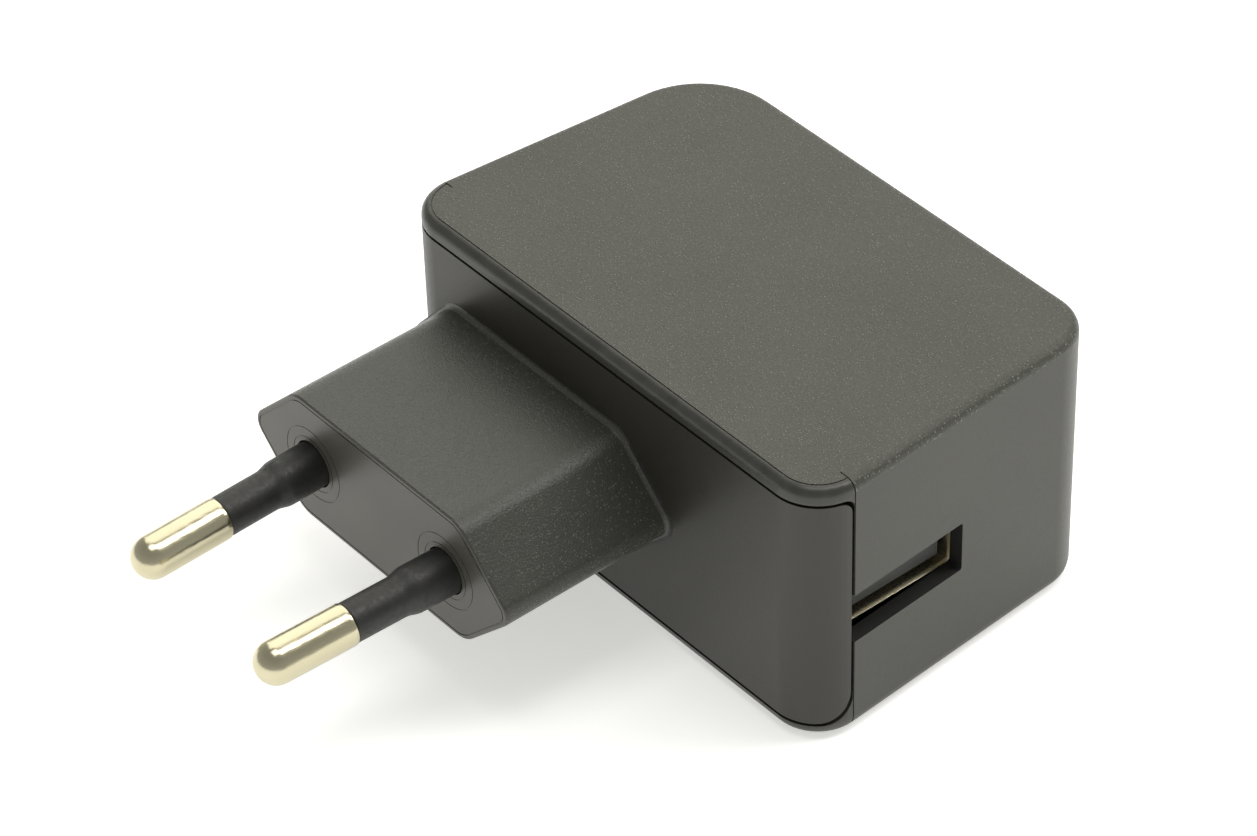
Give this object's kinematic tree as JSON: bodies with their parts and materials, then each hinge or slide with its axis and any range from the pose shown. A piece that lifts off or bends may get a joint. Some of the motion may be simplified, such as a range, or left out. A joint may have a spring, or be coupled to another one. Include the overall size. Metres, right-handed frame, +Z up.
{
  "type": "usb wall charger",
  "caption": "Plug-in mains charger with a flat two-pin plug nose on one face, a USB socket in one end, and its power supply board inside.",
  "frame": {"origin": "on the surface that the charger lies on, under the middle of its overall length and width", "axes": "+X along the housing's long side towards the USB socket, -Y the way the mains pins point, +Z up from the broad underside"},
  "size_m": [0.0544, 0.0714, 0.028],
  "materials": {
    "housing_plastic": "spark-eroded top, satin sides, charcoal",
    "cover_plastic": "satin and fine-textured, charcoal",
    "sleeve_plastic": "matte black insulating sleeve",
    "pin_metal": "polished nickel plate on brass",
    "spring_metal": "bright plated spring bronze",
    "shell_metal": "bright tinned sheet steel",
    "insulator_plastic": "grey moulded insulator",
    "ferrite": "ground ferrite",
    "bobbin_plastic": "black phenolic",
    "copper_wire": "enamelled copper wire",
    "yellow_tape": "polyester tape",
    "board_laminate": "green solder mask on glass epoxy",
    "can_sleeve": "plain dark blue plastic sleeve on an aluminium can",
    "choke_sleeve": "black heat-shrink sleeve over a wound ferrite drum",
    "resistor_coating": "matte green flameproof coating",
    "disc_coating": "blue dipped epoxy on a ceramic disc",
    "barrier_film": "translucent insulating film",
    "chip_epoxy": "black moulding compound",
    "chip_ceramic": "chip body with tinned ends"
  },
  "bodies": {
    "root": {"rear_housing": "housing_plastic", "front_cover": "cover_plastic", "pin_left": "pin_metal", "pin_right": "pin_metal", "pin_sleeve_left": "sleeve_plastic", "pin_sleeve_right": "sleeve_plastic", "contact_strip_left": "spring_metal", "contact_strip_right": "spring_metal", "usb_shell": "shell_metal", "usb_insulator": "insulator_plastic", "usb_contact_1": "spring_metal", "usb_contact_2": "spring_metal", "usb_contact_3": "spring_metal", "usb_contact_4": "spring_metal", "core_half_left": "ferrite", "core_half_right": "ferrite", "bobbin": "bobbin_plastic", "winding": "copper_wire", "winding_tape": "yellow_tape", "core_tape": "yellow_tape", "main_board": "board_laminate", "input_capacitor_1": "can_sleeve", "input_capacitor_2": "can_sleeve", "filter_choke": "choke_sleeve", "fusible_resistor": "resistor_coating", "supply_capacitor": "can_sleeve", "output_capacitor_1": "can_sleeve", "output_capacitor_2": "can_sleeve", "safety_capacitor": "disc_coating", "barrier_sheet": "barrier_film", "bridge_rectifier": "chip_epoxy", "controller_ic": "chip_epoxy", "snubber_diode": "chip_epoxy", "snubber_resistor": "chip_ceramic", "snubber_capacitor": "chip_ceramic", "current_sense_resistor": "chip_ceramic", "feedback_resistor_1": "chip_ceramic", "feedback_resistor_2": "chip_ceramic", "output_diode": "chip_epoxy", "data_resistor": "chip_ceramic"}
  },
  "joints": []
}
